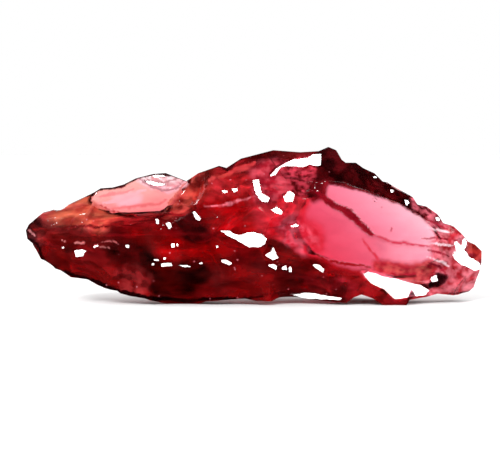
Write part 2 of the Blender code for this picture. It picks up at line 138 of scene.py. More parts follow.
# Areas on the front of the stone, as (x, z) corners.
REGIONS = {
    "salmon": [
        (-10.8, 3.7), (-10.3, 4.2), (-9.4, 4.8), (-8.2, 5.4), (-6.8, 6), (-5.5, 6.4), (-4, 6.4),
        (-3.1, 6), (-2.8, 5.4), (-3.3, 4.7), (-4, 4.1), (-5.5, 3.9), (-6.9, 3.8), (-8.8, 3.7),
        (-10.4, 3.4),
    ],
    "salmon_end": [
        (-8.4, 4.5), (-7.5, 4.4), (-6.8, 4.3), (-6.2, 4.2), (-5, 4.2), (-3.7, 4.4), (-3.4, 4.3),
        (-4.4, 4), (-5.4, 3.9), (-7.4, 3.8), (-8.5, 3.9),
    ],
    "keel_light": [(2, 1), (3.6, 1.1), (4.7, 0.7), (4.4, 0.4), (2.7, 0.5)],
    "crest_end": [(7.7, 4.8), (8.4, 4.8), (9.1, 4.4), (9.6, 3.8), (8.9, 3.4), (8.2, 4.1)],
    "belly_left": [
        (-10.4, 2.7), (-8.8, 2.5), (-6.9, 1.9), (-5.9, 0.5), (-7.4, 0.8), (-9.3, 1.3), (-10.7, 2.2),
    ],
    "window_end": [(6.4, 2.8), (8.4, 2.6), (8.8, 2.2), (8, 1.7), (6.4, 1.7)],
    "veil": [(-6.8, 5.1), (-6, 5.3), (-5.4, 5.1), (-5.6, 4.6), (-6.4, 4.6)],
    "orange": [(-9.4, 4.7), (-8.4, 5.2), (-7.6, 5.1), (-7, 4.5), (-7.5, 4.1), (-8.4, 4), (-9.2, 4.1)],
    "strip": [(-4.3, 4.3), (-4.1, 4.9), (-3.6, 5.5), (-3.1, 5.8), (-3, 5.3), (-3.4, 4.7), (-3.9, 4.2)],
    "left_window": [
        (-7.8, 4.9), (-7.6, 5.4), (-6.3, 5.6), (-5.6, 6.1), (-4.7, 6.2), (-3.8, 6.1), (-3.2, 5.8),
        (-3.6, 5.4), (-4, 5), (-4.2, 4.4), (-4.5, 4.2), (-6.2, 4.2), (-6.9, 4.4), (-7.4, 4.6),
    ],
    # Painted light: near white where the thin brow lets light through.
    "window_brow_painted_light": [(-5.6, 6), (-4.7, 6.2), (-3.7, 6), (-3.4, 5.7), (-4.1, 5.5), (-5, 5.7)],
    "brown": [
        (-3.1, 5.3), (-3.1, 6), (-2.4, 6.5), (-1.5, 6.6), (-1.3, 6.1), (-1.6, 5.2), (-2.4, 4.6),
        (-2.9, 4.7),
    ],
    "brow": [
        (-1.5, 6.6), (-0.7, 7.2), (0.4, 7.6), (3.3, 7.6), (3.3, 6.9), (1.7, 6.8), (0.7, 6.4),
        (0.1, 5.9), (-0.2, 5.1), (-1.3, 4.7), (-2.3, 4.6), (-1.7, 5.4),
    ],
    "dark_brow": [(-0.4, 7.2), (1, 7.6), (3.3, 7.6), (3.3, 7), (1.7, 6.9), (0.4, 6.6)],
    "red_slope": [(-2.4, 4.4), (-1.1, 4.7), (0.1, 5), (0.5, 4.3), (0.4, 3.7), (-0.7, 3.4), (-1.8, 3.8)],
    "pink_slope": [
        (0.2, 4.7), (1.1, 5.1), (2.1, 5.3), (3, 5), (3.1, 4.2), (2.9, 2.4), (2.1, 2.8), (1.3, 3.2),
        (0.6, 3.7),
    ],
    "spots": [(1.4, 3.7), (2.2, 3.9), (3, 3.4), (3.1, 2.7), (2.4, 2.7), (1.7, 3.2)],
    "granules": [
        (5.9, 1.8), (7, 1.7), (8.1, 1.7), (8.9, 2.1), (9.2, 1.7), (8.4, 1.3), (7.5, 1.3), (6.2, 1.5),
    ],
    "rough_patch": [(1.1, 6.5), (2.2, 6.8), (3.2, 6.7), (3.2, 5.5), (2.3, 5.3), (1.2, 5.4)],
    "grey_patch": [(0.1, 6.3), (1.1, 6.5), (1.3, 5.4), (0.8, 5), (0.3, 5.1)],
    # Painted light: the red patch where light comes through the belly.
    "belly_painted_light": [
        (-5.8, 3.1), (-4.6, 3.1), (-3.9, 2.9), (-2.8, 2.8), (-1.5, 2.5), (-1.5, 2.2), (-3.1, 2.1),
        (-4.3, 2.3), (-5.2, 2.6),
    ],
    "belly_top": [
        (-6.7, 3.6), (-5.5, 3.8), (-4.2, 4), (-3.4, 3.9), (-3.1, 3.4), (-3.4, 3), (-5, 3.1), (-6.5, 3),
    ],
    # Painted shade: the next three patches are dark where the belly lies in shade.
    "belly_left_painted_shade": [(-6.6, 2.5), (-6, 2.7), (-5.5, 2.5), (-5, 2.1), (-5.1, 1.7), (-6.1, 1.9)],
    "belly_foot_painted_shade": [(-5.2, 1.7), (-4, 1.8), (-2.8, 1.8), (-2.3, 1.4), (-3.1, 0.7), (-4.6, 0.6)],
    "slope_painted_shade": [(-3.4, 3.9), (-2.8, 4.2), (-2.2, 3.9), (-2.3, 3.2), (-3.1, 3.2)],
    # Painted shade: the next two patches are dark where the keel lies in shade.
    "keel_border_painted_shade": [
        (0.8, 2.8), (1.4, 2.7), (2, 2.5), (2.6, 2.1), (3.5, 1.8), (3.1, 1.6), (1.8, 1.7), (0.8, 2.1),
    ],
    "keel_painted_shade": [(0.1, 1.9), (1.7, 1.5), (3.6, 1), (4.5, 0.3), (2.2, 0.1), (0.3, 0.3)],
    "haze": [(-6.3, 1.4), (-5.8, 1.6), (-5.2, 1.1), (-5.5, 0.6), (-6.1, 0.7)],
    "left_tip": [(-11.2, 4.1), (-10.4, 3.9), (-10.3, 3.4), (-10.4, 2.8), (-11.2, 2.8)],
    "left_brown": [(-10.8, 3.4), (-8.6, 3.3), (-7.9, 2.9), (-8.8, 2.5), (-10.4, 2.7)],
    "keel": [
        (0.4, 3.4), (1.1, 2.9), (2.5, 2), (3.5, 1.8), (4.9, 1.6), (5.8, 0.9), (6.8, 0), (4.1, -0.1),
        (-0.7, -0.1), (-1.1, 1.9),
    ],
    "lower_window": [
        (2.8, 4.9), (3.1, 5), (3.7, 4.6), (4.4, 4.2), (5, 3.7), (5.5, 3.2), (7, 2.7), (8.4, 2.6),
        (8.8, 2.2), (8, 1.7), (6.3, 1.6), (4.9, 1.7), (3.6, 2), (2.9, 2.4), (2.6, 3.2), (2.6, 4.2),
    ],
    "right_window": [
        (3.4, 6), (4.3, 5.9), (5.1, 5.6), (6, 5.3), (7.2, 4.8), (8, 4.3), (8.4, 3.8), (8.8, 3),
        (8.9, 2.1), (8, 1.7), (6.3, 1.6), (4.9, 1.7), (3.5, 1.9), (2.5, 2.2), (1.8, 2.9), (1.5, 3.9),
        (2.1, 4.8), (3, 5.1),
    ],
    "upper_window": [
        (3.4, 6), (4.3, 5.9), (5.1, 5.6), (6, 5.3), (7.2, 4.8), (8, 4.3), (8.4, 3.8), (8.8, 3),
        (8.4, 2.7), (7, 2.9), (5.8, 3.2), (5.4, 3.5), (5, 4), (4.4, 4.5), (3.6, 4.9), (3.2, 5.2),
    ],
    # Painted shade: the crest is nearly black where it lies in shade.
    "crest": [
        (3.2, 7.8), (4, 7.4), (4.7, 6.8), (6, 6.6), (7.6, 5.7), (8.9, 4.6), (9.7, 3.7), (9.2, 3.3),
        (8.5, 3.8), (8, 4.2), (7.2, 4.7), (6, 5.2), (5.1, 5.5), (4.3, 5.7), (3.4, 5.8), (3.1, 5.4),
    ],
    # The lower facet's glint is real. The pale paint under it is a painted highlight.
    "lower_facet": [
        (5.1, 1.5), (5.6, 1.6), (6.3, 1.3), (7, 1.1), (8, 0.8), (8.4, 0.6), (8.2, 0.4), (7.3, 0.3),
        (6.8, 0.2), (6.3, 0.6), (5.7, 0.9), (5.3, 1.2),
    ],
    "middle": [
        (-9.3, 3.9), (-6.4, 4.1), (-3.1, 4.7), (-1.4, 5.6), (-0.2, 6.3), (2.7, 6.1), (3.6, 4.9),
        (8, 3), (8.9, 1.9), (6, 1.6), (3.6, 1.6), (1.7, 0.8), (-3.5, 0.8), (-7.4, 1.7), (-9.8, 2.8),
    ],
    "eye": [(8.9, 1.3), (9.2, 1.2), (8.9, 0.9), (8.5, 0.8), (8.6, 0.9), (8.8, 1)],
    "keel_foot": [(-1.2, 1.2), (-0.2, 1.3), (0.8, 1), (0.7, 0.3), (-1.2, 0.2)],
    "shelf": [
        (-7.8, 4.4), (-6.9, 4.2), (-5.5, 4.1), (-4.3, 4.2), (-3.4, 4.7), (-3, 4.5), (-3.7, 4),
        (-5.2, 3.7), (-7.4, 3.6), (-8, 4.1),
    ],
    # Painted shade in the corner of the step down to the right window.
    "corner": [(3, 5.8), (3.4, 5.9), (3.3, 5.1), (2.9, 5), (2.7, 5.3)],
    "tip_end": [(10.4, 2.7), (11, 2.8), (11, 1.9), (10.5, 2)],
    "right_tip": [(8.7, 2.8), (9.5, 3.5), (11.1, 3.2), (11.2, 0.1), (8.9, 0.1), (8.4, 0.8), (8.9, 1.6)],
}

# The small flat breaks, the same way. A later one covers an earlier one.
GLINTS = {
    "bar": [(-0.09, 5.87), (0.24, 5.92), (0.38, 5.25), (0.77, 5.01), (0.67, 4.82), (0.34, 4.86), (0, 5.3)],
    "blob": [(1.3, 5.2), (1.73, 5.39), (1.92, 5.2), (1.87, 4.86), (1.49, 4.82)],
    "arc": [(0.77, 4.48), (1.1, 4.58), (1.39, 4.39), (1.34, 4.19), (1.01, 4.29)],
    "slash": [
        (-1.63, 3.47), (-1.25, 3.47), (-0.67, 3.33), (-0.09, 3.38), (0.34, 3.28), (0.62, 3.04),
        (0.53, 2.8), (0.29, 2.66), (-0.24, 2.66), (-0.62, 2.85), (-0.91, 3), (-1.29, 3.19),
    ],
    "wedge": [(0.67, 2.76), (0.86, 2.8), (1.2, 2.13), (0.91, 2.04), (0.48, 2.28)],
    "under_wedge": [(0.58, 1.99), (1.1, 1.75), (1.06, 1.56), (0.67, 1.75)],
    "drop": [(1.3, 1.75), (1.53, 1.8), (1.58, 1.56), (1.34, 1.56)],
    "drop_b": [(1.63, 1.75), (1.77, 1.75), (1.82, 1.46), (1.68, 1.46)],
    "keel_streak": [(2.64, 2.04), (2.88, 1.99), (3.36, 1.65), (3.31, 1.46), (2.88, 1.7)],
    "lower_facet": [
        (5.13, 1.51), (5.56, 1.56), (6.28, 1.32), (7, 1.08), (7.96, 0.84), (8.39, 0.6), (8.2, 0.36),
        (7.33, 0.26), (6.76, 0.17), (6.28, 0.6), (5.66, 0.89), (5.32, 1.22),
    ],
    "top_band": [
        (0.67, 6.16), (1.01, 6.54), (1.58, 6.83), (1.97, 6.88), (2.54, 6.93), (2.83, 7.12),
        (3.21, 7.12), (3.21, 6.59), (2.92, 6.54), (2.69, 6.64), (2.3, 6.49), (1.97, 6.54),
        (1.58, 6.54), (1.25, 6.45), (1.06, 6.16), (0.82, 6.06),
    ],
    "tip_a": [
        (9.49, 2.76), (9.59, 3), (10.11, 3.12), (10.21, 2.88), (10.11, 2.52), (10.35, 2.16),
        (10.83, 1.92), (10.88, 1.61), (10.59, 1.56), (9.99, 1.8), (9.63, 2.04), (9.35, 2.52),
    ],
    "left_glint": [(-8.63, 2.47), (-8.29, 2.56), (-8, 2.47), (-8.19, 2.23), (-8.53, 2.18)],
    "streak_a": [(-4.5, 1.89), (-3.98, 1.89), (-3.88, 1.75), (-4.46, 1.7)],
    "streak_b": [(-3.83, 1.85), (-3.26, 1.8), (-2.87, 1.7), (-3.35, 1.7)],
    "streak_c": [(-4.84, 2.08), (-4.6, 2.08), (-4.6, 1.99), (-4.79, 1.99)],
    "dot_a": [(-4.74, 4), (-4.55, 4), (-4.6, 3.76), (-4.74, 3.76)],
    "dot_b": [(-4.26, 3.81), (-4.03, 3.86), (-3.93, 3.62), (-4.07, 3.52)],
    "dot_c": [(-3.98, 2.85), (-3.79, 2.85), (-3.79, 2.66), (-3.98, 2.61)],
    "dot_d": [(-6.18, 2.76), (-5.99, 2.76), (-5.99, 2.61), (-6.13, 2.61)],
    "dash": [(-2.97, 4.39), (-2.83, 4.39), (-2.54, 4.05), (-2.59, 3.91), (-2.78, 4)],
    "spot_a": [(-1.53, 5.39), (-1.25, 5.44), (-1.25, 5.3), (-1.48, 5.25)],
    "spot_b": [(-1.05, 5.49), (-0.81, 5.54), (-0.77, 5.34), (-0.96, 5.3)],
    "belly_dash": [(-1.68, 2.13), (-1.44, 2.13), (-1.05, 1.89), (-1.2, 1.8), (-1.53, 1.94)],
    "slope_spot": [(1.68, 3.71), (2.01, 3.76), (2.16, 3.67), (1.82, 3.57)],
    "crest_a": [(6.52, 5.44), (6.66, 5.44), (6.71, 5.3), (6.57, 5.25)],
    "crest_b": [(7.19, 4.96), (7.38, 4.91), (7.48, 4.67), (7.29, 4.67)],
    "crest_c": [(5.7, 6.06), (5.85, 6.06), (5.9, 5.97), (5.75, 5.97)],
    "crest_d": [(8.68, 4.1), (8.87, 4.1), (8.92, 3.95), (8.72, 3.91)],
    "tip_dark": [(8.44, 1.27), (8.77, 1.32), (8.82, 1.03), (8.53, 0.98)],
    "brow_a": [(-5.08, 6.09), (-4.41, 6.14), (-4.17, 6.06), (-4.79, 5.97)],
    "brow_b": [(-5.32, 5.87), (-4.7, 5.78), (-4.22, 5.68), (-4.5, 5.58), (-5.08, 5.68)],
    "speck_a": [(-4.91, 1.87), (-4.79, 1.87), (-4.79, 1.77), (-4.91, 1.77)],
    "speck_b": [(-2.64, 1.92), (-2.47, 1.92), (-2.47, 1.82), (-2.64, 1.82)],
    "speck_c": [(-1.84, 2.73), (-1.72, 2.73), (-1.72, 2.61), (-1.84, 2.61)],
    "speck_d": [(-3.71, 2.83), (-3.62, 2.83), (-3.62, 2.68), (-3.71, 2.68)],
    "speck_e": [(-9.25, 2.66), (-9.11, 2.68), (-9.11, 2.59), (-9.25, 2.56)],
    "speck_f": [(-7.72, 2.71), (-7.52, 2.8), (-7.48, 2.71), (-7.67, 2.61)],
    "speck_g": [(-4.36, 2.16), (-4.22, 2.16), (-4.22, 2.06), (-4.36, 2.06)],
    "bottom": [
        (1.06, 0.46), (1.73, 0.6), (2.4, 0.55), (3.26, 0.36), (4.22, 0.22), (4.12, 0.12), (3.16, 0.17),
        (2.3, 0.24),
    ],
}

# Lines on the front of the stone, as (x, z) points.
LINES = {
    # Painted shade: the streak stands in for a step between the windows, which the mesh lacks.
    "streak": [(3, 5.3), (3.6, 4.8), (4.4, 4.4), (5, 3.9), (5.4, 3.4), (5.7, 3.2)],
    "streak_thin": [(5.7, 3.2), (7, 2.8), (8.4, 2.7)],
    "pink_ridge": [(-2.4, 4.6), (-1.1, 4.8), (0.1, 5.1)],
    "notch": [(-3.2, 5.8), (-3.7, 5.3), (-4.1, 4.8), (-4.3, 4.3)],
    "left_crease": [(-10.6, 3.5), (-8.3, 3.6), (-6.7, 3.7), (-5, 3.9)],
    # Painted shadow under the left window.
    "shadow_under_window": [(-7.4, 4.6), (-6.2, 4.2), (-5, 4.1), (-3.9, 4.3)],
    "veil_a": [(-7.3, 4.7), (-6.2, 5), (-5.2, 5.4)],
    "veil_b": [(-6.8, 4.5), (-5.8, 4.6), (-4.6, 4.7), (-4.2, 5)],
    "veil_c": [(-7.5, 5), (-6.8, 5.2), (-5.8, 5.4)],
    "pale_a": [(-5.5, 5.9), (-5, 5.6), (-4.4, 5.4), (-3.7, 5.5), (-3.4, 5.8)],
    "pale_b": [(-9.3, 3), (-8.1, 2.8), (-6.8, 2.6)],
    "pale_e": [(-5.5, 6.1), (-4.9, 5.8), (-4.2, 5.8), (-3.5, 6)],
    "shelf_line": [(-6.7, 3.7), (-5, 4.2), (-3.3, 4.2)],
    "pale_c": [(-7.8, 2.7), (-7, 3), (-6.4, 2.9)],
    "tip_line": [(-10.8, 3.5), (-10.6, 3.2)],
    # Ribs at the tip, which the mesh lacks: the pale lines are painted highlights and the dark ones
    # painted shade.
    "rib_a": [(8.1, 4), (8.7, 3.8), (9.3, 3.5)],
    "rib_b": [(8.2, 3.6), (8.8, 3.5), (9.4, 3.3)],
    "rib_c": [(8.1, 3.1), (8.9, 3.1), (9.5, 3)],
    "rib_d": [(8.3, 2.8), (8.9, 2.8), (9.6, 2.7)],
    "rib_e": [(8.3, 2.5), (8.9, 2.4), (9.4, 2.2)],
    "rib_f": [(8.3, 2.2), (8.8, 2), (9.4, 1.7)],
    "rib_g": [(8.4, 1.9), (8.9, 1.7), (9.3, 1.3)],
    "tick": [(6.6, 3.6), (6.6, 3.3)],
    "under_pink": [(2.9, 2.4), (3.5, 2), (4.5, 1.9), (5.6, 1.7)],
    "smear": [(5.2, 3), (5.6, 2.5), (6, 2)],
    # Painted highlights along the brow.
    "brow_highlight": [(-1.5, 6.1), (-0.9, 6.4), (0, 6.7)],
    "brow_highlight_b": [(-2.3, 5.8), (-1.8, 6.1), (-1.1, 6.2)],
    # Dark lines of painted shade along the outline.
    "shaded_edge_window": [
        (-8, 5.1), (-7.6, 5.4), (-6.8, 5.5), (-6.2, 5.7), (-5.6, 6), (-4.7, 6.2), (-3.9, 6.1),
        (-3.2, 5.8),
    ],
    "shaded_edge_bottom": [
        (-11, 3.7), (-10.9, 3.1), (-10.4, 2.7), (-10.1, 2), (-9.3, 1.5), (-7.9, 1.1), (-6.5, 0.5),
        (-5, 0.2), (-3.1, 0.1), (-1.6, 0.2), (-0.2, 0.2), (0.4, 0.3),
    ],
    "shaded_edge_top_left": [
        (-11, 3.6), (-10.5, 4.1), (-10, 4.5), (-9.1, 4.8), (-8.3, 5.2), (-7.6, 5.6), (-6.2, 5.8),
        (-5.6, 6.1),
    ],
    "shaded_edge_brow": [
        (-3.2, 5.8), (-3, 6.1), (-2.3, 6.4), (-1.8, 6.6), (-1.3, 6.4), (-0.7, 6.9), (0.4, 7.4),
        (1.7, 7.5), (3.2, 7.5),
    ],
    "shaded_edge_tip": [
        (9.2, 4.1), (10, 3.7), (10.4, 3.3), (11, 2.9), (11.1, 1.9), (10.8, 1), (10.5, 0.5), (9.4, 0.4),
    ],
}

# What fills each region: its colour, a second colour that mottles it, the size of the mottling
# (along the stone, or below zero the same all ways), how clear it is, and how soft its border is.
# Each row covers those before it, and the first one fills the whole stone.
PAINT = [
    (None, (94, 4, 6), (122, 6, 10), 1.2, 0.26, 0.0),
    ("salmon", (222, 98, 98), (170, 48, 50), 0.45, 0.3, 0.2),
    ("salmon_end", (250, 66, 64), (222, 46, 46), 0.4, 0.15, 0.18),
    ("orange", (196, 90, 66), (166, 50, 40), 0.28, 0.22, 0.45),
    ("left_brown", (72, 4, 4), (96, 9, 8), 0.5, 0.2, 0.35),
    ("belly_left", (84, 3, 4), (106, 6, 6), 0.6, 0.18, 0.35),
    ("brown", (164, 36, 30), (92, 10, 9), 0.4, 0.25, 0.3),
    ("brow", (182, 32, 38), (112, 8, 12), 0.45, 0.3, 0.25),
    ("dark_brow", (84, 5, 6), (48, 2, 3), 0.4, 0.15, 0.2),
    ("belly_top", (94, 3, 6), (76, 2, 4), 0.4, 0.2, 0.2),
    # Painted light: the red patch where light comes through the belly.
    ("belly_painted_light", (116, 1, 2), (100, 1, 2), 0.5, 0.3, 0.3),
    # Painted shade: three dark patches on the belly.
    ("belly_left_painted_shade", (24, 1, 1), (56, 2, 3), 0.4, 0.1, 0.35),
    ("belly_foot_painted_shade", (18, 0, 0), (52, 1, 1), 0.5, 0.06, 0.2),
    ("slope_painted_shade", (28, 1, 2), (62, 2, 4), 0.4, 0.12, 0.25),
    ("haze", (140, 34, 36), (92, 6, 8), -0.3, 0.25, 0.2),
    ("left_tip", (46, 6, 8), (96, 20, 20), 0.3, 0.2, 0.15),
    ("red_slope", (154, 3, 8), (112, 2, 4), 0.5, 0.3, 0.25),
    ("keel", (122, 7, 10), (90, 3, 6), 0.6, 0.3, 0.12),
    ("keel_light", (176, 36, 50), (106, 7, 13), 0.25, 0.3, 0.15),
    # Painted shade: dark where the keel lies in shade.
    ("keel_painted_shade", (100, 6, 9), (70, 3, 5), 0.4, 0.25, 0.3),
    ("keel_foot", (140, 10, 12), (108, 6, 9), 0.4, 0.3, 0.25),
    ("pink_slope", (206, 40, 54), (168, 14, 26), 0.45, 0.45, 0.3),
    ("lower_window", (224, 190, 206), (216, 172, 194), 0.6, 1.0, 0.2),
    ("window_end", (252, 232, 242), (246, 214, 228), 0.6, 0.93, 0.4),
    ("upper_window", (252, 244, 252), (251, 234, 247), 0.9, 1.0, 0.08),
    # Painted shade along the border of the keel.
    ("keel_border_painted_shade", (96, 4, 5), (78, 2, 3), 0.3, 0.2, 0.12),
    ("spots", (214, 84, 104), (180, 28, 48), -0.22, 0.55, 0.25),
    ("granules", (186, 76, 70), (132, 14, 30), -0.2, 0.35, 0.15),
    ("rough_patch", (92, 6, 12), (190, 54, 72), -0.18, 0.22, 0.12),
    ("grey_patch", (186, 62, 76), (146, 20, 36), -0.3, 0.35, 0.25),
    # Painted shade: the crest is nearly black where it lies in shade.
    ("crest", (30, 1, 2), (66, 4, 7), -0.4, 0.08, 0.05),
    ("crest_end", (84, 8, 16), (206, 90, 106), -0.2, 0.2, 0.12),
    ("strip", (178, 62, 52), (130, 26, 24), -0.35, 0.25, 0.15),
    ("left_window", (250, 174, 148), (236, 140, 124), 0.6, 1.0, 0.08),
    ("veil", (252, 226, 220), (250, 214, 208), 0.5, 1.0, 0.2),
    # Painted light: near white where the thin brow lets light through.
    ("window_brow_painted_light", (250, 228, 230), (206, 134, 138), -0.4, 0.45, 0.1),
    ("right_tip", (156, 20, 30), (220, 112, 124), -0.34, 0.35, 0.18),
    ("tip_end", (170, 40, 34), (112, 10, 20), -0.28, 0.3, 0.15),
    # The lower facet's glint is real. The pale paint under it is a painted highlight.
    ("lower_facet", (250, 150, 164), (255, 216, 222), 0.5, 0.95, 0.05),
    ("eye", (26, 2, 4), (44, 4, 8), 0.3, 0.1, 0.04),
    # Painted shade in the corner of the step down to the right window.
    ("corner", (86, 6, 12), (60, 3, 6), 0.3, 0.1, 0.1),
]

# How each line is drawn, one over another: its colour, its half-width at the ends and in the
# middle, how clear it is, and how broken up.
STROKES = [
    # Painted shade: the streak stands in for a step between the windows, which the mesh lacks.
    ("streak", (104, 4, 16), 0.06, 0.19, 0.25, 0.0),
    ("streak_thin", (180, 36, 66), 0.03, 0.04, 0.8, 0.3),
    ("pink_ridge", (236, 120, 136), 0.04, 0.055, 0.4, 0.8),
    ("notch", (186, 84, 62), 0.03, 0.05, 0.5, 0.5),
    ("left_crease", (116, 14, 16), 0.03, 0.06, 0.4, 0.4),
    # Painted shadow under the left window.
    ("shadow_under_window", (150, 20, 24), 0.015, 0.045, 0.5, 0.2),
    ("veil_a", (252, 206, 200), 0.03, 0.1, 1.0, 0.5),
    ("veil_b", (214, 104, 92), 0.03, 0.08, 1.0, 0.5),
    ("veil_c", (224, 116, 108), 0.03, 0.09, 1.0, 0.6),
    ("pale_a", (150, 104, 108), 0.035, 0.05, 0.5, 0.3),
    ("pale_e", (164, 116, 118), 0.03, 0.045, 0.5, 0.3),
    ("pale_b", (190, 110, 110), 0.02, 0.03, 0.4, 1.0),
    ("pale_c", (190, 96, 98), 0.02, 0.025, 0.4, 1.0),
    ("tip_line", (180, 110, 112), 0.03, 0.04, 0.4, 0.2),
    ("shelf_line", (130, 12, 16), 0.04, 0.07, 0.4, 0.3),
    # Ribs at the tip, which the mesh lacks: the pale lines are painted highlights and the dark ones
    # painted shade.
    ("rib_a", (150, 14, 34), 0.02, 0.05, 0.4, 0.3),
    ("rib_b", (250, 214, 222), 0.02, 0.05, 0.5, 0.3),
    ("rib_c", (140, 14, 34), 0.02, 0.045, 0.4, 0.3),
    ("rib_d", (250, 214, 222), 0.02, 0.05, 0.5, 0.3),
    ("rib_e", (140, 14, 34), 0.02, 0.045, 0.4, 0.3),
    ("rib_f", (250, 214, 222), 0.02, 0.05, 0.5, 0.3),
    ("rib_g", (130, 14, 34), 0.02, 0.05, 0.4, 0.3),
    ("under_pink", (128, 8, 14), 0.03, 0.07, 0.4, 0.2),
    ("tick", (150, 30, 60), 0.02, 0.035, 0.8, 0.2),
    ("smear", (190, 50, 70), 0.03, 0.06, 0.8, 0.5),
    # Painted highlights along the brow.
    ("brow_highlight", (196, 56, 60), 0.05, 0.13, 0.3, 0.7),
    ("brow_highlight_b", (190, 56, 54), 0.05, 0.1, 0.3, 0.8),
    # Painted shade: dark lines along the outline, drawn on both sides.
    ("shaded_edge_bottom", (22, 1, 2), 0.04, 0.1, 0.15, 0.1),
    ("shaded_edge_window", (60, 8, 12), 0.04, 0.1, 0.25, 0.3),
    ("shaded_edge_top_left", (44, 8, 10), 0.03, 0.06, 0.3, 0.3),
    ("shaded_edge_brow", (40, 2, 3), 0.03, 0.07, 0.2, 0.3),
    ("shaded_edge_tip", (60, 10, 14), 0.03, 0.06, 0.3, 0.4),
]
SHADED_EDGES = ("shaded_edge_bottom", "shaded_edge_window", "shaded_edge_top_left", "shaded_edge_brow", "shaded_edge_tip")  # the lines of painted shade, seen on both sides


# ---------------------------------------------------------------- numbers on the surface
def hashed(i, j, k, seed):
    """A number from 0 to 1 for each whole-numbered lattice point."""
    h = (i * 374761393 + j * 668265263 + k * 2147483647 + seed * 974634777) & 0xFFFFFFFF
    h = ((h ^ (h >> 13)) * 1274126177) & 0xFFFFFFFF
    h = ((h ^ (h >> 16)) * 2246822519) & 0xFFFFFFFF
    return ((h ^ (h >> 15)) & 0xFFFFFF) / float(0xFFFFFF)


def noise(p, size, seed=0):
    """Smooth noise from -1 to 1 at points p, with cells of the given size."""
    q = p / size
    cell = np.floor(q).astype(np.int64)
    f = q - cell
    f = f * f * (3 - 2 * f)
    total = 0
    for a in (0, 1):
        for b in (0, 1):
            for c in (0, 1):
                w = (f[:, 0] if a else 1 - f[:, 0]) * (f[:, 1] if b else 1 - f[:, 1])
                w = w * (f[:, 2] if c else 1 - f[:, 2])
                total = total + w * hashed(cell[:, 0] + a, cell[:, 1] + b, cell[:, 2] + c, seed)
    return 2 * total - 1


def rough_noise(p, size, seed=0):
    """Noise with finer noise on top of it."""
    finer = noise(p, size * 0.45, seed + 1) * 0.3
    finest = noise(p, size * 0.2, seed + 2) * 0.15
    return noise(p, size, seed) * 0.6 + finer + finest


def smooth01(x):
    """Eases from 0 to 1 as x goes from 0 to 1."""
    x = np.clip(x, 0, 1)
    return x * x * (3 - 2 * x)


def rise(x, start, width):
    """0 up to start, then eases up over width to 1."""
    return smooth01((x - start) / width)


def to_segment(q, a, b):
    """How far each point is from the segment, and how far along it, from 0 to 1."""
    a, b = np.array(a, float), np.array(b, float)
    along = np.clip(((q - a) @ (b - a)) / max(((b - a) ** 2).sum(), 1e-9), 0, 1)
    return np.linalg.norm(q - a - along[:, None] * (b - a), axis=1), along


def outside(q, corners):
    """How far each point is outside the polygon, and below zero inside."""
    far = np.full(len(q), 1e9)
    odd = np.zeros(len(q), bool)
    for a, b in zip(corners, corners[1:] + corners[:1]):
        far = np.minimum(far, to_segment(q, a, b)[0])
        if a[1] != b[1]:
            crosses = (a[1] > q[:, 1]) != (b[1] > q[:, 1])
            odd ^= crosses & (q[:, 0] < (b[0] - a[0]) * (q[:, 1] - a[1]) / (b[1] - a[1]) + a[0])
    return np.where(odd, -far, far)


def linear(colour):
    """A colour of a picture, 0 to 255, as the linear numbers that a shader takes."""
    c = np.array(colour, float) / 255
    return np.where(c <= 0.04045, c / 12.92, ((c + 0.055) / 1.055) ** 2.4)


def stray(kind, p, far, size, seeds):
    """A shift in x and z for each point, from noise of one kind."""
    return np.stack([kind(p, size, seed) for seed in seeds], axis=1) * far


def seen_from_front(p):
    """(x, z) of each point carried along the view from the front to the plane through AIM."""
    d = p - np.array(AIM)
    away = CAMERA_AWAY + d[:, 1] * math.cos(CAMERA_UP) - d[:, 2] * math.sin(CAMERA_UP)
    up = d[:, 2] * math.cos(CAMERA_UP) + d[:, 1] * math.sin(CAMERA_UP)
    return np.stack([AIM[0] + d[:, 0] * CAMERA_AWAY / away, AIM[2] + up * CAMERA_AWAY / away], axis=1)


def towards(azimuth, elevation):
    """A direction away from the stone: azimuth 0 is in front of it, 90 to its right."""
    a, e = math.radians(azimuth), math.radians(elevation)
    return np.array([math.sin(a) * math.cos(e), -math.cos(a) * math.cos(e), math.sin(e)])


def mirror_normal(p):
    """The way the skin at p faces when it sends the key light to the front."""
    light = np.array(LIT) + towards(*KEY) * KEY_AWAY - p
    eye = np.array(AIM) + towards(0, math.degrees(CAMERA_UP)) * CAMERA_AWAY - p
    light /= np.linalg.norm(light, axis=-1, keepdims=True)
    eye /= np.linalg.norm(eye, axis=-1, keepdims=True)
    half = light + eye
    return half / np.linalg.norm(half, axis=-1, keepdims=True)


# ---------------------------------------------------------------- the fine surface
def split_edges(bm, edges):
    """Halves the edges, and keeps every face a triangle."""
    bmesh.ops.subdivide_edges(bm, edges=edges, cuts=1, use_grid_fill=False)
    bmesh.ops.triangulate(bm, faces=[f for f in bm.faces if len(f.verts) > 3])


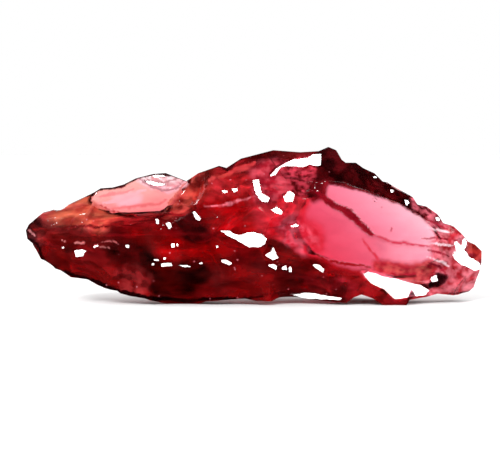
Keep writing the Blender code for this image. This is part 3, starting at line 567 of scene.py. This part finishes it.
def fine_surface():
    """The CAD solid in millimetres, cut into small even triangles, and smaller ones round glints."""
    bm = bmesh.new()
    bm.from_mesh(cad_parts["garnet"].data)
    bmesh.ops.scale(bm, vec=(1 / MM,) * 3, verts=bm.verts)
    bmesh.ops.remove_doubles(bm, verts=bm.verts, dist=WELD)
    bmesh.ops.dissolve_degenerate(bm, edges=bm.edges, dist=SLIVER)
    bmesh.ops.triangulate(bm, faces=bm.faces)
    bm.normal_update()
    limit = math.radians(RIDGE_ANGLE)
    # Ridges stay where they are, because only the smooth edges are turned to even out the faces.
    for e in bm.edges:
        e.smooth = len(e.link_faces) == 2 and e.calc_face_angle(0) <= limit
    for _ in range(SPLIT_ROUNDS):
        long = [e for e in bm.edges if e.calc_length() > LONGEST_EDGE]
        if not long:
            break
        split_edges(bm, long)
        soft = [e for e in bm.edges if e.smooth and len(e.link_faces) == 2]
        bmesh.ops.beautify_fill(bm, faces=bm.faces, edges=soft)
    for _ in range(BORDER_ROUNDS):
        found = in_glints(np.array([v.co for v in bm.verts]))
        bm.verts.index_update()
        border = [
            e
            for e in bm.edges
            if found[e.verts[0].index] != found[e.verts[1].index]
            and e.calc_length() > BORDER_EDGE
            and min(e.verts[0].normal.y, e.verts[1].normal.y) < 0
        ]
        split_edges(bm, border)
        bm.normal_update()
    return bm


def in_glints(p):
    """The number of the glint that each point is in, seen from the front, or -1."""
    q = seen_from_front(p) + stray(rough_noise, p, GLINT_WOBBLE, GLINT_WOBBLE_SIZE, (60, 70))
    found = np.full(len(p), -1)
    for i, corners in enumerate(GLINTS.values()):
        found[outside(q, corners) < 0] = i
    return found


def level_panes(p, normals):
    """The clear panes become gently waved planes, each one in the middle of what it replaces."""
    q = seen_from_front(p)
    out = p.copy()
    for region in PANES:
        far = outside(q, REGIONS[region])
        for side in (-1, 1):
            facing = normals[:, 1] * side > PANE_FACING
            inner = facing & (far < -PANE_CORE)
            terms = np.stack([np.ones(inner.sum()), p[inner, 0], p[inner, 2]], axis=1)
            fit = np.linalg.lstsq(terms, p[inner, 1], rcond=None)[0]
            middle = p[inner].mean(axis=0)
            plane = middle[1] + (fit[1] * (p[:, 0] - middle[0]) + fit[2] * (p[:, 2] - middle[2]))
            plane += PANE_WAVE * noise(p, PANE_WAVE_SIZE, seed=33 + side)
            w = smooth01(0.5 - (far - PANE_MARGIN) / PANE_BORDER) * facing
            out[:, 1] += (plane - p[:, 1]) * w
    return out


def flatten_glints(p, normals):
    """Moves the points of each glint towards a plane that sends the key light to the front, and
    never out of the CAD box. Also gives the number of the glint that each point ends up in, or -1."""
    inside = in_glints(p)
    found = np.full(len(p), -1)
    out = p.copy()
    for i in range(len(GLINTS)):
        hit = (inside == i) & (normals[:, 1] < -FACING)
        if hit.sum() < FEWEST_POINTS:
            continue
        n = mirror_normal(p[hit].mean(axis=0))
        off = -(p[hit, 0] * n[0] + p[hit, 2] * n[2]) / n[1] - p[hit, 1]
        off = np.clip(off - np.median(off), -RELIEF, RELIEF)
        out[hit, 1] = np.maximum(p[hit, 1] + off, CAD_BOX[0][1] / MM)
        found[hit] = i
    return out, found


# ---------------------------------------------------------------- tint and clearness
def wandering(p):
    """Where each point is seen from the front, shifted a little so that no border is straight."""
    shift = stray(rough_noise, p, WANDER, WANDER_SIZE, (1, 11))
    shift += stray(noise, p, FRAY, FRAY_SIZE, (5, 15))
    return seen_from_front(p) + shift


def drawn_together(p):
    """The points drawn together along the stone and tilted a little, so that noise makes streaks."""
    return np.stack([p[:, 0] * 0.4 + p[:, 2] * 0.12, p[:, 1], p[:, 2] - p[:, 0] * 0.05], axis=1)


def fill_regions(p, q, flow):
    """Tint and clearness from the regions. q is p seen from the front, and flow is p drawn together."""
    tint = np.zeros((len(p), 3))
    clear = np.zeros(len(p))
    for region, colour, second, size, see, soft in PAINT:
        if region is None:
            w = wide = np.ones(len(p))
        else:
            far = outside(q, REGIONS[region])
            w = smooth01(0.5 - far / (2 * soft))
            wide = smooth01(0.5 - (far - soft - OVERLAP) / (2 * soft))
            # Colour reaches past where the stone clouds, and stops short where it clears.
            if see < CLEAR_ENOUGH:
                w, wide = wide, w
        mottle = rough_noise(flow if size > 0 else p, abs(size), seed=91)
        mix = smooth01(0.5 + CONTRAST * mottle)[:, None]
        tint += (linear(colour) * (1 - mix) + linear(second) * mix - tint) * w[:, None]
        clear += (see - clear) * wide
    return tint, clear


def along_line(q, points, thin, thick):
    """1 on the line and 0 away from it. Its half-width swells from thin at the ends to thick."""
    lengths = np.cumsum([0] + [math.dist(a, b) for a, b in zip(points, points[1:])])
    w = np.zeros(len(q))
    for i, (a, b) in enumerate(zip(points, points[1:])):
        far, along = to_segment(q, a, b)
        t = (lengths[i] + along * (lengths[i + 1] - lengths[i])) / lengths[-1]
        wide = thin + (thick - thin) * np.sin(np.pi * t)
        w = np.maximum(w, smooth01(1.5 - far / wide))
    return w


def paint(p, normals):
    """The tint and how clear it is at each point."""
    q = wandering(p)
    flow = drawn_together(p)
    tint, clear = fill_regions(p, q, flow)

    # Grain and hairs where the stone is cloudy.
    cloudy = 1 - rise(clear, *CLEARING)
    grain = rough_noise(flow, GRAIN_SIZE, seed=21)
    hairs = smooth01(1 - np.abs(noise(flow, HAIR_SIZE, seed=51)) / HAIR_WIDTH)
    hairs *= smooth01(0.5 + noise(p, HAIR_PATCHES, seed=52))
    tint *= np.exp((GRAIN * grain + HAIRS * hairs) * cloudy)[:, None]

    # Painted shade: a dark rim where the outline turns away. The back is plain and clear. Y points back.
    back = normals[:, 1]
    edge = rise(outside(q, REGIONS["middle"]), 0, RIM_SHADE_EDGE)
    rim_shade = rise(back, *RIM_SHADE_TURN) * edge
    tint += (linear(RIM_SHADE_TINT) - tint) * (rim_shade * RIM_SHADE_STRENGTH)[:, None]
    plain = linear(BACK_TINT) * np.exp(BACK_GRAIN * grain)[:, None]
    behind = rise(back, *BACK_TURN)
    tint += (plain - tint) * behind[:, None]
    clear += (1.0 - clear) * rise(back + EDGE_EARLY * edge, *CLEAR_TURN)

    for line, colour, thin, thick, see, broken in STROKES:
        w = along_line(q, LINES[line], thin, thick)
        w *= 1 - broken * smooth01(0.5 + 2 * noise(p, FRAY_SIZE, seed=41))
        if line not in SHADED_EDGES:
            w *= 1 - behind
        tint += (linear(colour) - tint) * smooth01(2 * w)[:, None]
        clear += (see - clear) * w**2
    return np.clip(tint, 0, 1), np.clip(clear, 0, 1)


# ---------------------------------------------------------------- the mesh
def vertex_arrays(mesh):
    """Place and normal of each vertex."""
    p = np.empty(len(mesh.vertices) * 3)
    mesh.vertices.foreach_get("co", p)
    n = np.empty(len(mesh.vertices) * 3)
    mesh.vertices.foreach_get("normal", n)
    return p.reshape(-1, 3), n.reshape(-1, 3)


def loop_numbers(mesh, name):
    """The vertex or the edge of each corner of each triangle."""
    numbers = np.empty(len(mesh.loops), np.int64)
    mesh.loops.foreach_get(name, numbers)
    return numbers


def corners_in_glints(mesh, found):
    """Which corners belong to triangles that lie inside one glint."""
    of_face = found[loop_numbers(mesh, "vertex_index").reshape(-1, 3)]
    first, second, third = of_face.T
    return np.repeat((first >= 0) & (first == second) & (second == third), 3)


def sharpen_glints(mesh, glint):
    """Marks the outline of each glint sharp, so that it stays flat right to its edge."""
    inside = np.bincount(loop_numbers(mesh, "edge_index")[glint], minlength=len(mesh.edges))
    sharp = np.empty(len(mesh.edges), bool)
    attribute = mesh.attributes.get("sharp_edge") or mesh.attributes.new("sharp_edge", "BOOLEAN", "EDGE")
    attribute.data.foreach_get("value", sharp)
    attribute.data.foreach_set("value", sharp | (inside == 1))


def turn_normals(mesh, glint):
    """Glints mirror the key light to the front. Elsewhere the skin is turned a little from doing so."""
    normals = np.empty(len(mesh.loops) * 3)
    mesh.corner_normals.foreach_get("vector", normals)
    normals = normals.reshape(-1, 3)
    p = vertex_arrays(mesh)[0][loop_numbers(mesh, "vertex_index")] / MM
    shelf = smooth01(0.5 - outside(seen_from_front(p), REGIONS["shelf"]) / SHELF_BORDER)[:, None]
    normals += shelf * np.array([0, -SHELF_TURN, 0])
    normals /= np.linalg.norm(normals, axis=1, keepdims=True)
    mirror = mirror_normal(p)
    near = (normals * mirror).sum(axis=1)
    side = normals - near[:, None] * mirror
    side /= np.maximum(np.linalg.norm(side, axis=1), 1e-9)[:, None]
    least = math.radians(GLARE)
    turned = math.cos(least) * mirror + math.sin(least) * side
    glare = (near > math.cos(least)) & ~glint
    normals[glare] = turned[glare]
    normals[glint] = mirror[glint]
    mesh.normals_split_custom_set(normals.tolist())


def make_stone():
    """The visible stone. It is painted before it is levelled, so the paint lies as on the CAD solid."""
    bm = fine_surface()
    mesh = bpy.data.meshes.new("garnet_surface")
    bm.to_mesh(mesh)
    bm.free()
    p, normals = vertex_arrays(mesh)
    tint, clear = paint(p, normals)
    p, found = flatten_glints(level_panes(p, normals), normals)
    mesh.vertices.foreach_set("co", (p * MM).ravel())
    rgba = np.concatenate([tint, np.ones((len(p), 1))], axis=1)
    mesh.color_attributes.new("tint", "FLOAT_COLOR", "POINT").data.foreach_set("color", rgba.ravel())
    mesh.attributes.new("clear", "FLOAT", "POINT").data.foreach_set("value", clear)
    mesh.update()
    mesh.shade_smooth()
    mesh.set_sharp_from_angle(angle=math.radians(RIDGE_ANGLE))
    glint = corners_in_glints(mesh, found)
    sharpen_glints(mesh, glint)
    turn_normals(mesh, glint)
    stone = bpy.data.objects.new("garnet_surface", mesh)
    bpy.context.scene.collection.objects.link(stone)
    return stone


# ---------------------------------------------------------------- materials
def attribute_node(tree, name):
    """What is painted on the mesh under that name."""
    node = tree.nodes.new("ShaderNodeAttribute")
    node.attribute_name = name
    return node


def grain_node(tree, place, scale, detail, stretch=(1, 1, 1)):
    """Noise across the stone, with a scale per metre."""
    turned = tree.nodes.new("ShaderNodeMapping")
    turned.inputs["Scale"].default_value = stretch
    tree.links.new(place.outputs["Object"], turned.inputs["Vector"])
    grain = tree.nodes.new("ShaderNodeTexNoise")
    grain.inputs["Scale"].default_value = scale
    grain.inputs["Detail"].default_value = detail
    tree.links.new(turned.outputs["Vector"], grain.inputs["Vector"])
    return grain.outputs["Fac"]


def range_node(tree, value, from_min, from_max, to_min, to_max, kind="LINEAR"):
    """Carries a value from one range to another, and never past its ends."""
    spread = tree.nodes.new("ShaderNodeMapRange")
    spread.interpolation_type = kind
    spread.inputs["From Min"].default_value = from_min
    spread.inputs["From Max"].default_value = from_max
    spread.inputs["To Min"].default_value = to_min
    spread.inputs["To Max"].default_value = to_max
    tree.links.new(value, spread.inputs["Value"])
    return spread.outputs["Result"]


def product_node(tree, first, second):
    """Two values multiplied."""
    both = tree.nodes.new("ShaderNodeMath")
    both.operation = "MULTIPLY"
    tree.links.new(first, both.inputs[0])
    tree.links.new(second, both.inputs[1])
    return both.outputs["Value"]


def blend_node(tree, kind, factor, first, second):
    """Two colours together. The second may be a plain colour."""
    mix = tree.nodes.new("ShaderNodeMix")
    mix.data_type = "RGBA"
    mix.blend_type = kind
    tree.links.new(factor, mix.inputs["Factor"])
    tree.links.new(first, mix.inputs["A"])
    if isinstance(second, tuple):
        mix.inputs["B"].default_value = second
    else:
        tree.links.new(second, mix.inputs["B"])
    return mix.outputs["Result"]


def garnet_material():
    """Glossy crystal. "tint" colours it, and "clear" is how much of the light goes through."""
    material = bpy.data.materials.new("garnet")
    material.use_nodes = True
    tree = material.node_tree
    nodes, links = tree.nodes, tree.links
    shader = nodes["Principled BSDF"]
    place = nodes.new("ShaderNodeTexCoord")
    clear = attribute_node(tree, "clear").outputs["Fac"]
    links.new(clear, shader.inputs["Transmission Weight"])

    # Streaks, and pink specks of painted sparkle, show where the stone is cloudy.
    cloudy = range_node(tree, clear, *CLOUDY)
    streaks = grain_node(tree, place, STREAKS, detail=6, stretch=STREAK_STRETCH)
    shade = range_node(tree, streaks, *STREAK_SHADE)
    colour = blend_node(tree, "MULTIPLY", cloudy, attribute_node(tree, "tint").outputs["Color"], shade)
    cells = nodes.new("ShaderNodeTexVoronoi")
    cells.inputs["Scale"].default_value = SPARKLES
    links.new(place.outputs["Object"], cells.inputs["Vector"])
    sparkle = range_node(tree, cells.outputs["Distance"], *SPARKLE_CORE)
    some = range_node(tree, streaks, *SPARKLE_PLACES)
    sparkle = product_node(tree, product_node(tree, sparkle, some), cloudy)
    colour = blend_node(tree, "MIX", sparkle, colour, SPARKLE_COLOUR)
    links.new(colour, shader.inputs["Base Color"])

    # The skin is glossy with a few duller smears. Cloudy places are hackly, clear ones only rippled.
    smears = grain_node(tree, place, SMEARS, detail=4)
    links.new(range_node(tree, smears, *SMEAR_ROUGHNESS), shader.inputs["Roughness"])
    bump = nodes.new("ShaderNodeBump")
    bump.inputs["Distance"].default_value = RIPPLE_HEIGHT * MM
    links.new(range_node(tree, clear, *RIPPLE_STRENGTH), bump.inputs["Strength"])
    links.new(grain_node(tree, place, RIPPLES, detail=5), bump.inputs["Height"])
    links.new(bump.outputs["Normal"], shader.inputs["Normal"])

    shader.inputs["IOR"].default_value = GARNET_IOR
    volume = nodes.new("ShaderNodeVolumeAbsorption")
    volume.inputs["Density"].default_value = ABSORPTION
    volume.inputs["Color"].default_value = THROUGH
    links.new(volume.outputs[0], nodes["Material Output"].inputs["Volume"])
    return material


def floor_material():
    """A pale floor without gloss."""
    material = bpy.data.materials.new("floor")
    material.use_nodes = True
    shader = material.node_tree.nodes["Principled BSDF"]
    shader.inputs["Base Color"].default_value = (0.9, 0.9, 0.9, 1)
    shader.inputs["Roughness"].default_value = 1.0
    shader.inputs["Specular IOR Level"].default_value = 0.0
    return material


# ---------------------------------------------------------------- the studio
def make_floor():
    """A pale floor, which isn't seen in or through the stone: what shines there is the room."""
    half = FLOOR_HALF * MM
    mesh = bpy.data.meshes.new("floor")
    corners = [(-half, -half, 0), (half, -half, 0), (half, half, 0), (-half, half, 0)]
    mesh.from_pydata(corners, [], [(0, 1, 2, 3)])
    mesh.materials.append(floor_material())
    floor = bpy.data.objects.new("floor", mesh)
    floor.location.z = -FLOOR_GAP * MM
    floor.visible_glossy = False
    floor.visible_transmission = False
    bpy.context.scene.collection.objects.link(floor)


def make_world():
    """A pale studio: bright behind the stone and over the floor, dim towards the camera and overhead."""
    world = bpy.data.worlds.new("studio")
    bpy.context.scene.world = world
    world.use_nodes = True
    world.cycles_visibility.glossy = False  # the skin mirrors the key light alone
    tree = world.node_tree
    nodes, links = tree.nodes, tree.links
    nodes["Background"].inputs["Color"].default_value = (1, 1, 1, 1)
    coords = nodes.new("ShaderNodeTexCoord")
    split = nodes.new("ShaderNodeSeparateXYZ")
    links.new(coords.outputs["Generated"], split.inputs[0])
    depth = range_node(tree, split.outputs["Y"], *FRONT_TO_BACK, "SMOOTHSTEP")
    height = range_node(tree, split.outputs["Z"], *LEVEL_TO_OVERHEAD, "SMOOTHSTEP")
    seen = product_node(tree, depth, height)
    path = nodes.new("ShaderNodeLightPath")
    for ray, strength in {"Is Diffuse Ray": ROOM_LIGHT, "Is Camera Ray": 1.0}.items():
        pick = nodes.new("ShaderNodeMix")
        pick.data_type = "FLOAT"
        links.new(path.outputs[ray], pick.inputs["Factor"])
        links.new(seen, pick.inputs["A"])
        pick.inputs["B"].default_value = strength
        seen = pick.outputs["Result"]
    links.new(seen, nodes["Background"].inputs["Strength"])


def softbox(name, azimuth, elevation, away, size, power):
    """A square lamp that shines at the middle of the stone."""
    lamp = bpy.data.lights.new(name, "AREA")
    lamp.size = size * MM
    lamp.energy = power
    way = Vector(towards(azimuth, elevation))
    holder = bpy.data.objects.new(name, lamp)
    holder.location = Vector(LIT) * MM + way * (away * MM)
    holder.rotation_euler = way.to_track_quat("Z", "Y").to_euler()
    bpy.context.scene.collection.objects.link(holder)
    return holder


def make_camera():
    """The camera of the photograph: straight in front of the stone and a little above it."""
    camera = bpy.data.cameras.new("camera")
    camera.lens = LENS
    camera.clip_start = MM
    holder = bpy.data.objects.new("camera", camera)
    bpy.context.scene.collection.objects.link(holder)
    bpy.context.scene.camera = holder
    back = Vector(towards(0, math.degrees(CAMERA_UP)))
    holder.location = (Vector(AIM) + back * CAMERA_AWAY) * MM
    holder.rotation_mode = "QUATERNION"
    holder.rotation_quaternion = (-back).to_track_quat("-Z", "Y")


stone = make_stone()
stone.data.materials.append(garnet_material())
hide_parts("garnet")
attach(stone, "root")

make_floor()
make_world()
softbox("key", *KEY, KEY_AWAY, KEY_SIZE, KEY_POWER)
softbox("fill", *FILL, FILL_AWAY, FILL_SIZE, FILL_POWER).visible_glossy = False
make_camera()

scene = bpy.context.scene
scene.view_settings.view_transform = "Standard"
scene.cycles.max_bounces = BOUNCES
scene.cycles.transmission_bounces = BOUNCES
